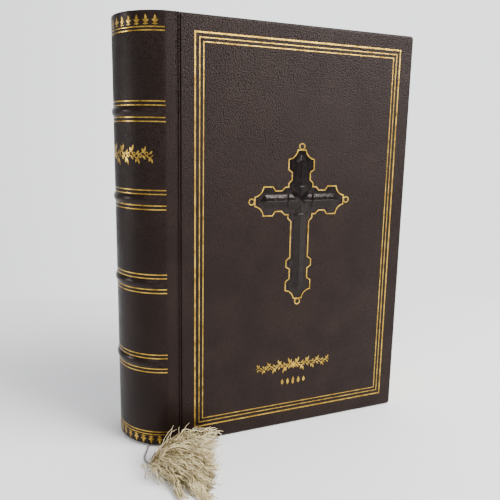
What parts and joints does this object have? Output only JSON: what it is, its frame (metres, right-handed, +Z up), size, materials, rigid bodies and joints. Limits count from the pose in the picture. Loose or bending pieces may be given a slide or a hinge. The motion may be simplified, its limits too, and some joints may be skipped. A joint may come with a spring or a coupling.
{
  "type": "leather-bound prayer book",
  "caption": "Closed leather prayer book standing upright, with hinged covers, rounded spine with raised bands, gilt frames, a cross in relief and a silk bookmark with a tassel",
  "frame": {"origin": "middle of the base of the standing book, at the height of the surface it stands on; the free bookmark cord and its tassel are not counted", "axes": "+Z up towards the head of the book, +X from the spine to the fore-edge, +Y from the front cover to the back cover"},
  "size_m": [0.1376, 0.0887, 0.185],
  "materials": {
    "cover_leather": "dark brown pebbled morocco, half gloss",
    "relief_leather": "black, smooth, pressed and polished",
    "gilt": "gold tooling, slightly worn",
    "leaves": "cream paper with gilt edges",
    "leaf_paper": "cream paper, matte",
    "marbled_paper": "marbled endpaper, waxed",
    "board": "grey-brown millboard",
    "lining_cloth": "open-weave cotton",
    "endband_silk": "red and cream silk sewn over a core",
    "bookmark_silk": "grey-mauve twisted silk cord",
    "tassel_silk": "cream silk threads, frayed"
  },
  "bodies": {
    "text_block": {"signature_01": "leaves", "signature_02": "leaves", "signature_03": "leaves", "signature_04": "leaves", "signature_05": "leaves", "signature_06": "leaves", "signature_07": "leaves", "signature_08": "leaves", "signature_09": "leaves", "signature_10": "leaves", "signature_11": "leaves", "signature_12": "leaves", "signature_13": "leaves", "signature_14": "leaves", "signature_15": "leaves", "signature_16": "leaves", "signature_17": "leaves", "signature_18": "leaves", "signature_19": "leaves", "signature_20": "leaves", "spine_leather": "cover_leather", "spine_gilt_lines": "gilt", "raised_band_cores": "board", "spine_inlay": "board", "spine_lining": "lining_cloth", "sewing_tapes": "lining_cloth", "head_band": "endband_silk", "tail_band": "endband_silk", "front_joint_leather": "cover_leather", "back_joint_leather": "cover_leather", "bookmark_inner_run": "bookmark_silk"},
    "front_cover": {"front_board": "board", "front_cover_leather": "cover_leather", "front_pastedown": "marbled_paper", "front_gilt_frames": "gilt", "cross_gilt_outline": "gilt", "cross_relief": "relief_leather"},
    "back_cover": {"back_board": "board", "back_cover_leather": "cover_leather", "back_pastedown": "marbled_paper", "back_gilt_frames": "gilt"},
    "front_flyleaf": {"front_flyleaf": "marbled_paper"},
    "title_leaf": {"title_leaf": "leaf_paper"},
    "last_leaf": {"last_leaf": "leaf_paper"},
    "back_flyleaf": {"back_flyleaf": "marbled_paper"},
    "bookmark": {"bookmark_cord": "bookmark_silk", "tassel_head": "tassel_silk", "tassel_skirt": "tassel_silk"}
  },
  "joints": [
    {"name": "front_cover_hinge", "type": "hinge", "parent": "text_block", "child": "front_cover", "pos_m": [-0.04668, -0.0208, 0.0925], "axis": [0, 0, -1], "range_deg": [0, 175]},
    {"name": "back_cover_hinge", "type": "hinge", "parent": "text_block", "child": "back_cover", "pos_m": [-0.04668, 0.0212, 0.0925], "axis": [0, 0, 1], "range_deg": [0, 175]},
    {"name": "front_flyleaf_turn", "type": "hinge", "parent": "text_block", "child": "front_flyleaf", "pos_m": [-0.04507, -0.017, 0.0925], "axis": [0, 0, -1], "range_deg": [0, 87.5]},
    {"name": "title_leaf_turn", "type": "hinge", "parent": "text_block", "child": "title_leaf", "pos_m": [-0.04437, -0.0166, 0.0925], "axis": [0, 0, -1], "range_deg": [0, 61.25]},
    {"name": "back_flyleaf_turn", "type": "hinge", "parent": "text_block", "child": "back_flyleaf", "pos_m": [-0.04507, 0.0174, 0.0925], "axis": [0, 0, 1], "range_deg": [0, 87.5]},
    {"name": "last_leaf_turn", "type": "hinge", "parent": "text_block", "child": "last_leaf", "pos_m": [-0.04437, 0.017, 0.0925], "axis": [0, 0, 1], "range_deg": [0, 61.25]},
    {"name": "bookmark_swing", "type": "hinge", "parent": "text_block", "child": "bookmark", "pos_m": [-0.055, 0.0002, 0.0925], "axis": [0, 0, -1], "range_deg": [0, 101.5]}
  ],
  "couplings": [
    {"joint": "front_flyleaf_turn", "follows": "front_cover_hinge", "ratio": 0.5},
    {"joint": "title_leaf_turn", "follows": "front_cover_hinge", "ratio": 0.35},
    {"joint": "bookmark_swing", "follows": "front_cover_hinge", "ratio": 0.58},
    {"joint": "back_flyleaf_turn", "follows": "back_cover_hinge", "ratio": 0.5},
    {"joint": "last_leaf_turn", "follows": "back_cover_hinge", "ratio": 0.35}
  ]
}
